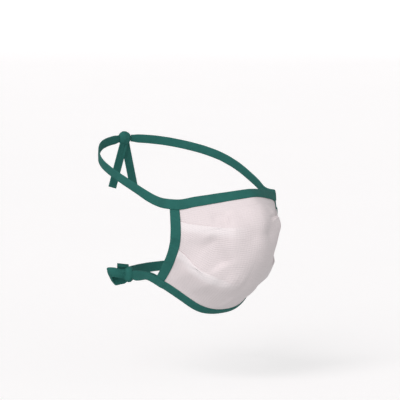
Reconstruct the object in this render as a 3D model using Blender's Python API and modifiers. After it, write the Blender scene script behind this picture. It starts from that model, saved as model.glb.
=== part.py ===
"""Pleated dust mask of woven cloth, bound with tape and shown in the form it has when worn.

Metres, +Z up. The wearer looks along -Y, so +X is the wearer's left. The origin is the middle
of the top tape where it crosses the bridge of the nose.

The panel is one cloth with two pleats. They lie folded between the side tapes, with their outer
fold edges upwards, and open towards the middle, which gives the cup its depth. The top and bottom
tapes are folded over the panel's edges and run on as ties to a knot.
"""

import math
from collections import namedtuple

import bpy
import bmesh
import numpy as np
from mathutils import Vector

# The worn cup's three main sizes
HALF_WIDTH = 0.0665
WORN_DEPTH = 0.0980
WORN_HEIGHT = 0.1245

# Cloth, tape and the space between layers
CLOTH = 0.0010
TAPE = 0.0010
CLEARANCE = 0.0003
BINDING_CLEARANCE = 0.00045
TAPE_WIDTH = 0.0096
EDGE_INSET = 0.0019
MEAN_HALF_ROW = 0.0900

# The folded tape's section: where its leaves start to close, in tape thicknesses, and how far
FOLD_START = 1.3
FOLD_CLOSE = 0.62

# Pleats
PLEAT_DEPTH = 0.0170
PLEAT_RAMP = 0.0030
PLEAT_MARGIN = 0.00125
PLEAT_SPREAD = 0.0080
PLEAT_FADE = 0.22
LAYER_STEP = CLOTH + CLEARANCE

# The head and neck that the ties go round
HEAD_HALF_BREADTH = 0.0780
HEAD_LENGTH = 0.1920
HEAD_MIDDLE_BACK = 0.0950
NECK_RADIUS = 0.0600
NECK_BACK = 0.0840
TIE_HALF_GAP = 0.0007

# How the ties leave the cup: the places across whose middle lines lead into them, and the length
# over which they turn to lie flat
LEAD_IN = (0.90, 0.95, 1.0)
CORNER_TURN = 0.0440

# Knots, loop and free ends
KNOT_GAP = 0.0003
KNOT_PINCH = 0.35
UPPER_KNOT_SIZE = (0.0150, 0.0110, 0.0150)
UPPER_KNOT_OFFSET = Vector((0.0, 0.0010, 0.0005))
UPPER_TAIL_LENGTH = 0.0450
UPPER_TAIL_STATIONS = 6
UPPER_TAIL_START = (0.0015, 0.0013, -0.0070)
UPPER_TAIL_STEP = (0.28, 0.06, -0.96)
LOWER_KNOT_SIZE = (0.0105, 0.0095, 0.0160)
LOOP_WALL = 0.0016
LOOP_LENGTH = 0.0225
LOWER_TAIL_LENGTH = 0.0085
LOWER_TAIL_STATIONS = 4

# How finely the surfaces are divided and joined
HALF_COLUMNS = 12
TIE_SPACING = 0.0110
TANGENT_NUDGE = 0.0010
MIRROR_JOIN = 0.00005

# Guide rows of the half cup, from the top edge to the bottom edge. Each row is a curve from the
# middle to the side: it leaves the middle sideways, for front_out, and is drawn towards the cheek
# place before it ends at the side. Sideways lengths are shares of HALF_WIDTH, backward ones of
# WORN_DEPTH and upward ones of WORN_HEIGHT.
GuideRow = namedtuple(
    "GuideRow",
    "middle_back middle_up front_out cheek_out cheek_back cheek_up side_out side_back side_up",
)
GUIDE_ROWS = (
    GuideRow(-0.015, 0.038, 0.150, 0.692, 0.184, -0.008, 1.000, 0.380, -0.035),
    GuideRow(-0.199, -0.145, 0.241, 0.692, 0.133, -0.153, 1.012, 0.363, -0.153),
    GuideRow(-0.286, -0.289, 0.346, 0.677, 0.061, -0.281, 1.005, 0.360, -0.265),
    GuideRow(-0.230, -0.466, 0.391, 0.677, 0.102, -0.426, 0.982, 0.410, -0.410),
    GuideRow(-0.128, -0.618, 0.406, 0.677, 0.204, -0.578, 0.956, 0.515, -0.534),
    GuideRow(0.066, -0.779, 0.391, 0.677, 0.327, -0.715, 0.932, 0.617, -0.627),
    GuideRow(0.429, -0.964, 0.346, 0.692, 0.459, -0.831, 0.917, 0.714, -0.702),
)

# Where the two outer fold edges run: shares of the cloth's height, at shares of a row's half length
PleatLine = namedtuple("PleatLine", "across upper lower")
PLEAT_LINES = (
    PleatLine(0.00, 0.273, 0.650),
    PleatLine(0.30, 0.273, 0.649),
    PleatLine(0.60, 0.262, 0.640),
    PleatLine(0.75, 0.240, 0.610),
    PleatLine(0.90, 0.209, 0.535),
    PleatLine(1.00, 0.190, 0.480),
)
UPPER_OPEN_AT = 0.45
LOWER_OPEN_AT = 0.40

# Routes of the ties' middle lines after the cup's corners, for the wearer's left. Shares of the
# head's or neck's half breadth sideways, of HEAD_LENGTH backwards and of WORN_HEIGHT upwards.
RoutePoint = namedtuple("RoutePoint", "out back up")
UPPER_ROUTE = (
    RoutePoint(0.885, 0.252, -0.060),
    RoutePoint(0.930, 0.333, -0.018),
    RoutePoint(0.962, 0.405, 0.031),
    RoutePoint(1.000, 0.570, 0.133),
    RoutePoint(0.955, 0.690, 0.200),
    RoutePoint(0.750, 0.825, 0.268),
    RoutePoint(0.420, 0.945, 0.317),
    RoutePoint((UPPER_KNOT_SIZE[0] / 2 + KNOT_GAP) / HEAD_HALF_BREADTH, 0.995, 0.337),
)
LOWER_LEFT_ROUTE = (
    RoutePoint(1.020, 0.450, -0.655),
    RoutePoint(0.890, 0.590, -0.665),
    RoutePoint(0.560, 0.698, -0.675),
    RoutePoint(0.060, 0.752, -0.682),
    RoutePoint(-0.440, 0.720, -0.682),
    RoutePoint(-0.790, 0.655, -0.680),
    RoutePoint(-0.920, 0.6085, -0.678),
)
LOWER_RIGHT_ROUTE = (
    RoutePoint(1.018, 0.400, -0.660),
    RoutePoint(1.008, 0.455, -0.666),
    RoutePoint(0.990, 0.505, -0.673),
    RoutePoint(0.964, 0.5455, -0.680),
)

# The lower knot's bow loop, from its near end round to its far end, as shares of LOOP_LENGTH from
# the knot: outwards, upwards and ahead, half the tape's width, and how far its top leans outwards.
LoopStation = namedtuple("LoopStation", "out up ahead half_width lean")
LOWER_LOOP = (
    LoopStation(0.215, 0.030, 0.070, 0.200, 0.05),
    LoopStation(0.400, 0.055, 0.150, 0.195, 0.05),
    LoopStation(0.610, 0.112, 0.205, 0.208, 0.15),
    LoopStation(0.775, 0.115, 0.190, 0.218, 0.35),
    LoopStation(0.895, 0.070, 0.100, 0.222, 0.50),
    LoopStation(0.890, -0.020, 0.025, 0.222, 0.52),
    LoopStation(0.830, -0.140, -0.050, 0.220, 0.52),
    LoopStation(0.733, -0.270, -0.115, 0.216, 0.45),
    LoopStation(0.470, -0.235, -0.150, 0.203, 0.20),
    LoopStation(0.215, -0.200, -0.085, 0.185, 0.05),
)
LOWER_KNOT_PLACE = (-0.0572, 0.1107, -0.0844)
LOWER_KNOT_OUT = Vector((-1.0, 0.0, 0.0))
LOWER_LOOP_OUT = Vector((-0.79, 0.61, 0.0)).normalized()
LOWER_TAIL_START = (0.0050, 0.0052, -0.0004)
LOWER_TAIL_STEP = Vector((0.99, 0.10, 0.0)).normalized()

WOVEN_WHITE = (0.78, 0.735, 0.735, 1.0)
TAPE_GREEN = (0.030, 0.150, 0.130, 1.0)


def clear_scene():
    """Remove what the opened file holds."""
    for thing in list(bpy.data.objects):
        bpy.data.objects.remove(thing, do_unlink=True)


def make_material(name, colour, roughness):
    """Return a cloth material with the given colour."""
    material = bpy.data.materials.new(name)
    material.use_nodes = True
    shader = material.node_tree.nodes["Principled BSDF"]
    shader.inputs["Base Color"].default_value = colour
    shader.inputs["Roughness"].default_value = roughness
    shader.inputs["Metallic"].default_value = 0.0
    material.diffuse_color = colour
    return material


def unit(vectors):
    """Return each vector at length one."""
    return vectors / np.linalg.norm(vectors, axis=-1, keepdims=True)


def spline(places, values, wanted):
    """Return a natural cubic spline through values, which lie at places, read at wanted."""
    places = np.asarray(places, float)
    values = np.asarray(values, float)
    flat = values.reshape(len(places), -1)
    step = np.diff(places)
    system = np.eye(len(places))
    right = np.zeros_like(flat)
    for i in range(1, len(places) - 1):
        system[i, i - 1:i + 2] = (step[i - 1], 2 * (step[i - 1] + step[i]), step[i])
        right[i] = 6 * ((flat[i + 1] - flat[i]) / step[i] - (flat[i] - flat[i - 1]) / step[i - 1])
    bend = np.linalg.solve(system, right)
    wanted = np.atleast_1d(np.asarray(wanted, float))
    low = np.clip(np.searchsorted(places, wanted) - 1, 0, len(places) - 2)
    width = step[low][:, None]
    before = (places[low + 1] - wanted)[:, None] / width
    after = 1 - before
    line = before * flat[low] + after * flat[low + 1]
    curve = (before ** 3 - before) * bend[low] + (after ** 3 - after) * bend[low + 1]
    return (line + curve * width ** 2 / 6).reshape((len(wanted),) + values.shape[1:])


def lengths_along(points):
    """Return the length run through at each point, along the second last axis."""
    steps = np.linalg.norm(np.diff(points, axis=-2), axis=-1)
    start = np.zeros(steps.shape[:-1] + (1,))
    return np.concatenate([start, np.cumsum(steps, axis=-1)], axis=-1)


def shares_at(lengths, wanted):
    """Return where, as a share of its samples, each rising row of lengths reaches wanted."""
    count = lengths.shape[1]
    high = np.clip((lengths < wanted[:, None]).sum(axis=1), 1, count - 1)
    rows = np.arange(len(lengths))
    below = lengths[rows, high - 1]
    above = lengths[rows, high]
    return (high - 1 + (wanted - below) / (above - below)) / (count - 1)


def smooth_step(value):
    """Return 0 to 1 with soft ends as value goes from 0 to 1."""
    value = np.clip(value, 0, 1)
    return value * value * (3 - 2 * value)


class CupForm:
    """The smooth half surface of the worn mask, without pleats.

    A place on it is a pair of shares: across, from the middle to the side along a row, and down,
    from the top edge to the bottom edge.
    """

    SAMPLES = 41
    NUDGE = 0.004

    def __init__(self, rows):
        scale = np.array((HALF_WIDTH, WORN_DEPTH, WORN_HEIGHT))
        self.rails = np.array([
            [
                scale * (0, row.middle_back, row.middle_up),
                scale * (row.front_out, row.middle_back, row.middle_up),
                scale * (row.cheek_out, row.cheek_back, row.cheek_up),
                scale * (row.side_out, row.side_back, row.side_up),
            ]
            for row in rows
        ])
        middle = lengths_along(self.rails[:, 0])
        side = lengths_along(self.rails[:, 3])
        self.places = (middle + side) / (middle[-1] + side[-1])
        shares = np.linspace(0, 1, self.SAMPLES)
        grid_across, grid_down = np.meshgrid(shares, shares, indexing="ij")
        grid = self.points(grid_across.ravel(), grid_down.ravel())
        self.column_lengths = lengths_along(grid.reshape(self.SAMPLES, self.SAMPLES, 3))

    def points(self, across, down):
        """Return the surface's points at arrays of across and down."""
        rails = spline(self.places, self.rails, np.clip(down, 0, 1))
        shares = np.linspace(0, 1, self.SAMPLES)
        curve = self.row_curve(rails[:, None], shares[None, :, None])
        lengths = lengths_along(curve)
        at = shares_at(lengths, np.clip(across, 0, 1) * lengths[:, -1])
        return self.row_curve(rails, at[:, None])

    @staticmethod
    def row_curve(rails, share):
        """Return the cubic through each row's four rails at share."""
        rest = 1 - share
        return (
            rest ** 3 * rails[..., 0, :]
            + 3 * rest ** 2 * share * rails[..., 1, :]
            + 3 * rest * share ** 2 * rails[..., 2, :]
            + share ** 3 * rails[..., 3, :]
        )

    def normals(self, across, down):
        """Return the outward normals at arrays of across and down."""
        nudge = self.NUDGE
        downward = self.points(across, down + nudge) - self.points(across, down - nudge)
        sideward = self.points(across + nudge, down) - self.points(across - nudge, down)
        return unit(np.cross(downward, sideward))

    def column(self, across):
        """Return the lengths run down the cloth at each sample of the columns at across."""
        place = np.clip(across, 0, 1) * (self.SAMPLES - 1)
        low = np.minimum(place.astype(int), self.SAMPLES - 2)
        share = (place - low)[:, None]
        return (1 - share) * self.column_lengths[low] + share * self.column_lengths[low + 1]

    def heights(self, across):
        """Return the cloth's height, along its surface, at across."""
        return self.column(across)[:, -1]

    def down_at(self, across, distance):
        """Return down for a distance from the top edge along the surface."""
        return shares_at(self.column(across), distance)

    def lifted(self, across, down, lift):
        """Return the points at across and down, raised outwards by lift."""
        return self.points(across, down) + self.normals(across, down) * lift[:, None]


class Pleat:
    """One pleat of the panel: where it lies and how far it is folded at each column."""

    ARC = np.radians((-90, -45, 0, 45, 90))

    def __init__(self, form, lines, open_at):
        self.form = form
        self.across = [line[0] for line in lines]
        self.folds = [line[1] for line in lines]
        self.open_at = open_at

    def overlap(self, across):
        """Return how deep the layers overlap, down to 0 where the pleat has opened."""
        return np.maximum(PLEAT_DEPTH * (across - self.open_at) / (1 - self.open_at), 0)

    def crease(self, across):
        """Return how much of the step between the layers is left: 1 folded, 0 flat."""
        return smooth_step((across - self.open_at + PLEAT_FADE) / PLEAT_FADE)

    def span(self, across):
        """Return the distances where the swelling starts, is full, ends and has gone."""
        fold = spline(self.across, self.folds, across) * self.form.heights(across)
        middle = fold + self.overlap(across) / 2
        half = self.overlap(across) / 2 + PLEAT_MARGIN
        ramp = PLEAT_RAMP + PLEAT_SPREAD * (1 - self.crease(across))
        return middle - half - ramp, middle - half, middle, middle + half, middle + half + ramp

    def stations(self, across):
        """Return distances and lifts down the cloth through the pleat, a pair for each station."""
        enter, under, middle, over, leave = self.span(across)
        turn = self.overlap(across) / 2
        crease = self.crease(across)
        bend = LAYER_STEP / 2
        path = [
            (enter, 0.0),
            ((enter + under) / 2, -0.5),
            (under, -1.0),
            ((under + middle + turn) / 2, -1.0),
        ]
        for angle in self.ARC:
            path.append((middle + turn + bend * math.cos(angle), -0.5 + 0.5 * math.sin(angle)))
        path.append((middle, 0.0))
        for angle in self.ARC:
            path.append((middle - turn - bend * math.cos(angle), 0.5 + 0.5 * math.sin(angle)))
        path += [
            ((over + middle - turn) / 2, 1.0),
            (over, 1.0),
            ((over + leave) / 2, 0.5),
            (leave, 0.0),
        ]
        stations = []
        for i, (distance, lift) in enumerate(path):
            flat = enter + (leave - enter) * i / (len(path) - 1)
            stations.append((flat + (distance - flat) * crease, lift * LAYER_STEP * crease))
        return stations


def between(first, last, count):
    """Return count flat stations spread evenly between two distances."""
    shares = [(i + 1) / (count + 1) for i in range(count)]
    return [(first + (last - first) * share, 0.0 * first) for share in shares]


def grid_object(name, collection, grid, material):
    """Return an open surface: a grid whose points take the places in grid[row][column]."""
    rows, columns = grid.shape[:2]
    shape = bmesh.new()
    bmesh.ops.create_grid(shape, x_segments=columns - 1, y_segments=rows - 1, size=0.5)
    for vertex in shape.verts:
        column = round((vertex.co.x + 0.5) * (columns - 1))
        row = round((vertex.co.y + 0.5) * (rows - 1))
        vertex.co = grid[row, column]
    mesh = bpy.data.meshes.new(name)
    shape.to_mesh(mesh)
    shape.free()
    mesh.shade_smooth()
    mesh.materials.append(material)
    thing = bpy.data.objects.new(name, mesh)
    collection.objects.link(thing)
    return thing


def mirror_at_middle(thing):
    """Add the wearer's right half to a left half that is open at the middle."""
    mirror = thing.modifiers.new("Right half", "MIRROR")
    mirror.use_axis = (True, False, False)
    mirror.use_clip = True
    mirror.merge_threshold = MIRROR_JOIN


def thicken(thing, thickness):
    """Give an open surface its wall, half to each side."""
    wall = thing.modifiers.new("Wall", "SOLIDIFY")
    wall.thickness = thickness
    wall.offset = 0.0


def tape_section(half_gap):
    """Return the folded tape's section: distances from its folded edge, and heights."""
    fold = FOLD_START * TAPE
    return (
        (TAPE_WIDTH, half_gap),
        (TAPE_WIDTH / 2, half_gap),
        (fold, half_gap),
        (TAPE / 2, FOLD_CLOSE * half_gap),
        (TAPE / 2, -FOLD_CLOSE * half_gap),
        (fold, -half_gap),
        (TAPE_WIDTH / 2, -half_gap),
        (TAPE_WIDTH, -half_gap),
    )


BINDING_HALF_GAP = CLOTH / 2 + BINDING_CLEARANCE + TAPE / 2


def panel_columns():
    """Return where the panel's columns lie across its half, with two under the side tape."""
    open_cloth = np.linspace(0, 1 - TAPE_WIDTH / MEAN_HALF_ROW, HALF_COLUMNS + 1)
    covered = (1 - TAPE_WIDTH / 2 / MEAN_HALF_ROW, 1 - EDGE_INSET / MEAN_HALF_ROW)
    return np.concatenate([open_cloth, covered])


def make_panel(form, pleats, collection, material):
    """Build the pleated cloth panel inside its bindings."""
    across = panel_columns()
    height = form.heights(across)
    insets = (EDGE_INSET, TAPE_WIDTH / 2, TAPE_WIDTH)
    upper, lower = (pleat.stations(across) for pleat in pleats)
    path = [(0 * height + inset, 0 * height) for inset in insets]
    path += between(path[-1][0], upper[0][0], 1)
    path += upper
    path += between(upper[-1][0], lower[0][0], 2)
    path += lower
    path += between(lower[-1][0], height - TAPE_WIDTH, 4)
    path += [(height - inset, 0 * height) for inset in reversed(insets)]
    rows = [form.lifted(across, form.down_at(across, distance), lift) for distance, lift in path]
    panel = grid_object("mask_panel", collection, np.array(rows), material)
    mirror_at_middle(panel)
    thicken(panel, CLOTH)
    return panel


def edge_binding(form, across, bottom):
    """Return the tape sections along the top or bottom edge at each place across."""
    sections = []
    for inset, height in tape_section(BINDING_HALF_GAP):
        distance = form.heights(across) - inset if bottom else 0 * across + inset
        lift = 0 * across + height
        sections.append(form.lifted(across, form.down_at(across, distance), lift))
    return np.array(sections).transpose(1, 0, 2)


def edge_middle(form, across, bottom):
    """Return the middle line of the top or bottom tape at each place across."""
    distance = 0 * across + TAPE_WIDTH / 2
    if bottom:
        distance = form.heights(across) - distance
    return form.points(across, form.down_at(across, distance))


def tie_sections(form, route, half_breadth, centre_back, bottom):
    """Return the tape sections of a tie from the cup's left corner to the route's end.

    The folded tape lies flat on the head or neck, whose upright middle line is at centre_back.
    """
    scale = np.array((half_breadth, HEAD_LENGTH, WORN_HEIGHT))
    lead_in = edge_middle(form, np.array(LEAD_IN), bottom)
    points = np.concatenate([lead_in, [scale * tuple(point) for point in route]])
    lengths = lengths_along(points)
    start = lengths[len(lead_in) - 1]
    count = round((lengths[-1] - start) / TIE_SPACING)
    at = np.linspace(start, lengths[-1], count + 1)[1:]
    middle = spline(lengths, points, at)
    ahead = spline(lengths, points, at + TANGENT_NUDGE)
    behind = spline(lengths, points, at - TANGENT_NUDGE)
    along = unit(ahead - behind)
    radial = middle - np.array((0, centre_back, 0))
    radial[:, 0] /= half_breadth ** 2
    radial[:, 1] /= (HEAD_LENGTH - HEAD_MIDDLE_BACK if not bottom else half_breadth) ** 2
    radial[:, 2] = 0
    last = edge_binding(form, np.array((1.0,)), bottom)[0]
    corner_inward = unit(last[0] + last[-1] - last[3] - last[4])
    corner_outward = unit(last[0] - last[-1])
    settled = smooth_step((at - start) / CORNER_TURN)[:, None]
    outward = unit(unit(radial) * settled + corner_outward * (1 - settled))
    outward = unit(outward - along * (outward * along).sum(axis=1, keepdims=True))
    inward = np.cross(outward, along) if bottom else np.cross(along, outward)
    inward = unit(inward * settled + corner_inward * (1 - settled))
    half_gap = BINDING_HALF_GAP + (TIE_HALF_GAP - BINDING_HALF_GAP) * settled[:, 0]
    sections = []
    for place, share in tape_section(1.0):
        from_middle = (place - TAPE_WIDTH / 2) * inward
        sections.append(middle + from_middle + outward * (share * half_gap)[:, None])
    return np.array(sections).transpose(1, 0, 2)


def mirrored(sections):
    """Return sections on the wearer's right."""
    return sections * (-1, 1, 1)


def make_top_tape(form, collection, material):
    """Build the top tape: binding and both upper ties, folded from one strip."""
    binding = edge_binding(form, np.append(panel_columns()[:-1], 1.0), False)
    tie = tie_sections(form, UPPER_ROUTE, HEAD_HALF_BREADTH, HEAD_MIDDLE_BACK, False)
    tape = grid_object("top_tape", collection, np.concatenate([binding, tie]), material)
    mirror_at_middle(tape)
    thicken(tape, TAPE)
    return tape


def make_bottom_tape(form, collection, material):
    """Build the bottom tape: binding and both lower ties, which meet at the right of the neck."""
    binding = edge_binding(form, np.append(panel_columns()[:-1], 1.0), True)
    left = tie_sections(form, LOWER_LEFT_ROUTE, NECK_RADIUS, NECK_BACK, True)
    right = tie_sections(form, LOWER_RIGHT_ROUTE, NECK_RADIUS, NECK_BACK, True)
    strip = np.concatenate([
        mirrored(right)[::-1],
        mirrored(binding)[:0:-1],
        binding,
        left,
    ])
    tape = grid_object("bottom_tape", collection, strip, material)
    thicken(tape, TAPE)
    return tape


def make_side_tape(name, form, pleats, mirror, collection, material):
    """Build a side tape, folded over the panel's edge and swollen where the pleats lie."""
    start = TAPE_WIDTH + CLEARANCE
    columns = []
    for inset, height in tape_section(1.0):
        across = np.full(1, 1 - inset / MEAN_HALF_ROW)
        upper, lower = (pleat.span(across) for pleat in pleats)
        end = form.heights(across) - TAPE_WIDTH - CLEARANCE
        swell = (0, 1, 1, 1, 0)
        rows = [(np.full(1, start), 0)]
        rows += list(zip(upper, swell))
        rows += list(zip(lower, swell))
        rows += [(distance, 0) for distance, _ in between(lower[-1], end, 3)]
        rows.append((end, 0))
        column = []
        for distance, full in rows:
            half_gap = BINDING_HALF_GAP + LAYER_STEP * full
            lift = np.full(1, height * half_gap)
            column.append(form.lifted(across, form.down_at(across, distance), lift)[0])
        columns.append(column)
    sections = np.array(columns).transpose(1, 0, 2)
    if mirror:
        sections = mirrored(sections)[:, ::-1]
    tape = grid_object(name, collection, sections, material)
    thicken(tape, TAPE)
    return tape


def make_knot(name, size, place, out, collection, material):
    """Build a knot as a soft block, narrower where the ties come in."""
    shape = bmesh.new()
    bmesh.ops.create_cube(shape, size=1.0)
    bmesh.ops.subdivide_edges(shape, edges=shape.edges[:], cuts=1, use_grid_fill=True)
    side = Vector((out.y, -out.x, 0))
    for vertex in shape.verts:
        local = vertex.co.copy()
        pinch = 1 - KNOT_PINCH * abs(local.x) * 2
        vertex.co = (
            Vector(place)
            + side * local.x * size[0]
            + out * local.y * size[1] * pinch
            + Vector((0, 0, 1)) * local.z * size[2] * pinch
        )
    mesh = bpy.data.meshes.new(name)
    shape.to_mesh(mesh)
    shape.free()
    mesh.shade_smooth()
    mesh.materials.append(material)
    thing = bpy.data.objects.new(name, mesh)
    collection.objects.link(thing)
    soft = thing.modifiers.new("Soft form", "SUBSURF")
    soft.levels = 1
    soft.render_levels = 1
    return thing


def strip_object(name, centres, widths, thickness, collection, material):
    """Build a flat strip from its middle points and its width at each."""
    shares = (-0.5, 0.0, 0.5)
    grid = [[centre + width * share for share in shares] for centre, width in zip(centres, widths)]
    strip = grid_object(name, collection, np.array(grid), material)
    thicken(strip, thickness)
    return strip


def make_lower_bow(collection, material):
    """Build the lower knot with its loop and its free end."""
    place = Vector(LOWER_KNOT_PLACE)
    out = LOWER_LOOP_OUT
    ahead = Vector((-out.y, out.x, 0))
    up = Vector((0, 0, 1))
    make_knot("lower_knot", LOWER_KNOT_SIZE, place, LOWER_KNOT_OUT, collection, material)
    centres = []
    widths = []
    for row in LOWER_LOOP:
        centres.append(place + (out * row.out + up * row.up + ahead * row.ahead) * LOOP_LENGTH)
        widths.append((up + out * row.lean).normalized() * 2 * row.half_width * LOOP_LENGTH)
    strip_object("lower_loop", centres, widths, LOOP_WALL, collection, material)
    start_out, start_up, start_ahead = LOWER_TAIL_START
    start = place + out * start_out + up * start_up + ahead * start_ahead
    step = out * LOWER_TAIL_STEP.x + up * LOWER_TAIL_STEP.y
    spacing = LOWER_TAIL_LENGTH / (LOWER_TAIL_STATIONS - 1)
    centres = [start + step * spacing * i for i in range(LOWER_TAIL_STATIONS)]
    widths = [up * TAPE_WIDTH] * len(centres)
    strip_object("lower_tail", centres, widths, LOOP_WALL, collection, material)


def make_upper_knot(collection, material):
    """Build the plain upper knot at the back of the head, with two short free ends."""
    end = UPPER_ROUTE[-1]
    place = Vector((0, HEAD_LENGTH * end.back, WORN_HEIGHT * end.up)) + UPPER_KNOT_OFFSET
    make_knot("upper_knot", UPPER_KNOT_SIZE, place, Vector((0, 1, 0)), collection, material)
    start_side, start_back, start_up = UPPER_TAIL_START
    step_side, step_back, step_up = UPPER_TAIL_STEP
    for name, side in (("upper_tail_left", 1), ("upper_tail_right", -1)):
        start = place + Vector((side * start_side, side * start_back, start_up))
        step = Vector((side * step_side, step_back, step_up)).normalized()
        spacing = UPPER_TAIL_LENGTH / (UPPER_TAIL_STATIONS - 1)
        centres = [start + step * spacing * i for i in range(UPPER_TAIL_STATIONS)]
        widths = [Vector((-step_up, 0.0, side * step_side)) * TAPE_WIDTH] * len(centres)
        strip_object(name, centres, widths, LOOP_WALL, collection, material)


def main():
    """Build the mask."""
    clear_scene()
    collection = bpy.data.collections.new("dust_mask")
    bpy.context.scene.collection.children.link(collection)
    cloth = make_material("woven white cloth", WOVEN_WHITE, 0.85)
    tape = make_material("green woven tape", TAPE_GREEN, 0.80)
    form = CupForm(GUIDE_ROWS)
    pleats = (
        Pleat(form, [(line.across, line.upper) for line in PLEAT_LINES], UPPER_OPEN_AT),
        Pleat(form, [(line.across, line.lower) for line in PLEAT_LINES], LOWER_OPEN_AT),
    )
    make_panel(form, pleats, collection, cloth)
    make_top_tape(form, collection, tape)
    make_bottom_tape(form, collection, tape)
    make_side_tape("side_tape_left", form, pleats, False, collection, tape)
    make_side_tape("side_tape_right", form, pleats, True, collection, tape)
    make_upper_knot(collection, tape)
    make_lower_bow(collection, tape)


main()
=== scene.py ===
"""Looks of a pleated cloth dust mask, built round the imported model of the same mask.

Metres, +Z up. The wearer looks along -Y, so +X is the wearer's left, and the camera stands at the
wearer's right front. The origin is the middle of the top tape, where it crosses the nose bridge.

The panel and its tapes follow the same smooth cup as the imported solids. Here the cloth is as thin
as the real one, and it has its weave, its soft dents and ridges, and the thread that sews it.
"""

import logging
import math
from dataclasses import dataclass, field
from enum import Enum
from typing import NamedTuple, Sequence

import bpy
import numpy as np
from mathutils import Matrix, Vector, noise


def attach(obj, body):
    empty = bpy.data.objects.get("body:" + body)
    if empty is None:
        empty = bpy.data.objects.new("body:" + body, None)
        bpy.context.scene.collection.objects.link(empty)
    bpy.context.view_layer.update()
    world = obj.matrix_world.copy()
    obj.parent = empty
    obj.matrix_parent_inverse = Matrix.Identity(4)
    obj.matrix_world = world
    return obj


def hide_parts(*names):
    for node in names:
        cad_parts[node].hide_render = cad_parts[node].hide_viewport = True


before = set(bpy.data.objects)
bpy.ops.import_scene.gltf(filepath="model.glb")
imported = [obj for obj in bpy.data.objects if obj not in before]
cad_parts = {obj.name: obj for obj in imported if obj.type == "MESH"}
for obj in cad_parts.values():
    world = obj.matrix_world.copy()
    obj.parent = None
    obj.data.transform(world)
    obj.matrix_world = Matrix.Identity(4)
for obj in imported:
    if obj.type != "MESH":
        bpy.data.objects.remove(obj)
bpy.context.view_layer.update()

LOG = logging.getLogger("dust_mask")
BODY = "root"

# The worn cup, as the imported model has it
HALF_WIDTH = 0.0665
WORN_DEPTH = 0.0980
WORN_HEIGHT = 0.1245
MEAN_HALF_ROW = 0.0900
TAPE_WIDTH = 0.0096
UPPER_TIE_WIDTH = 0.0085
LOWER_TIE_WIDTH = 0.0104
EDGE_INSET = 0.0019

# The head and neck that the ties go round
HEAD_HALF_BREADTH = 0.0780
HEAD_LENGTH = 0.1920
HEAD_MIDDLE_BACK = 0.0950
NECK_RADIUS = 0.0600
NECK_BACK = 0.0840
CORNER_TURN = 0.0440

# Real thicknesses of cloth and tape, and the air between layers
CLOTH = 0.00035
TAPE_WALL = 0.00055
AIR = 0.00012
# How far a sewn tape's faces waver, and how wide the wavering is
WAVER = 0.00014
WAVER_GRAIN = 0.0110

BLACK = (0.0, 0.0, 0.0, 1.0)
WHITE = (1.0, 1.0, 1.0, 1.0)


class GuideRow(NamedTuple):
    """One row of the half cup, in shares of its width, depth and height."""

    middle_back: float
    middle_up: float
    front_out: float
    cheek_out: float
    cheek_back: float
    cheek_up: float
    side_out: float
    side_back: float
    side_up: float


GUIDE_ROWS = (
    GuideRow(-0.015, 0.038, 0.150, 0.692, 0.184, -0.008, 1.000, 0.380, -0.035),
    GuideRow(-0.199, -0.145, 0.241, 0.692, 0.133, -0.153, 1.012, 0.363, -0.153),
    GuideRow(-0.286, -0.289, 0.346, 0.677, 0.061, -0.281, 1.005, 0.360, -0.265),
    GuideRow(-0.230, -0.466, 0.391, 0.677, 0.102, -0.426, 0.982, 0.410, -0.410),
    GuideRow(-0.128, -0.618, 0.406, 0.677, 0.204, -0.578, 0.956, 0.515, -0.534),
    GuideRow(0.066, -0.779, 0.391, 0.677, 0.327, -0.715, 0.932, 0.617, -0.627),
    GuideRow(0.429, -0.964, 0.346, 0.692, 0.459, -0.831, 0.917, 0.714, -0.702),
)


class RoutePoint(NamedTuple):
    """A point on a tie's middle line, in shares of the half breadth, HEAD_LENGTH and WORN_HEIGHT."""

    out: float
    back: float
    up: float


UPPER_ROUTE = (
    RoutePoint(0.885, 0.252, -0.060),
    RoutePoint(0.930, 0.333, -0.018),
    RoutePoint(0.962, 0.405, 0.031),
    RoutePoint(1.000, 0.570, 0.133),
    RoutePoint(0.955, 0.690, 0.200),
    RoutePoint(0.750, 0.825, 0.268),
    RoutePoint(0.420, 0.945, 0.317),
    RoutePoint(0.100, 0.995, 0.337),
)
LOWER_LEFT_ROUTE = (
    RoutePoint(1.020, 0.450, -0.655),
    RoutePoint(0.890, 0.590, -0.665),
    RoutePoint(0.560, 0.698, -0.675),
    RoutePoint(0.060, 0.752, -0.682),
    RoutePoint(-0.440, 0.720, -0.682),
    RoutePoint(-0.790, 0.655, -0.680),
    RoutePoint(-0.925, 0.598, -0.678),
)
LOWER_RIGHT_ROUTE = (
    RoutePoint(1.018, 0.400, -0.660),
    RoutePoint(1.008, 0.455, -0.666),
    RoutePoint(0.990, 0.505, -0.673),
    RoutePoint(0.962, 0.555, -0.680),
)


class Half(Enum):
    """A half of the mask, by the sign of its x."""

    NEAR = -1
    FAR = 1


class Edge(Enum):
    """The panel's edge that a long tape binds."""

    TOP = "top"
    BOTTOM = "bottom"


class EdgeShift(NamedTuple):
    """A soft rise or sag of the cup along its top or bottom edge.

    It is full at the share across, and dies away over reach to both sides and over depth, a share
    of the cloth's height, away from the edge. Rise is in metres.
    """

    edge: Edge
    across: float
    reach: float
    depth: float
    rise: float


EDGE_SHIFTS = (
    EdgeShift(Edge.TOP, 0.85, 0.10, 0.16, -0.0009),
    EdgeShift(Edge.TOP, 1.05, 0.09, 0.16, 0.0013),
    EdgeShift(Edge.BOTTOM, 0.36, 0.22, 0.10, -0.0024),
)


def unit(vectors: np.ndarray) -> np.ndarray:
    """Return each vector at length one."""
    return vectors / np.linalg.norm(vectors, axis=-1, keepdims=True)


def smooth_step(value: np.ndarray) -> np.ndarray:
    """Return 0 to 1 with soft ends as value goes from 0 to 1."""
    value = np.clip(value, 0, 1)
    return value * value * (3 - 2 * value)


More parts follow.
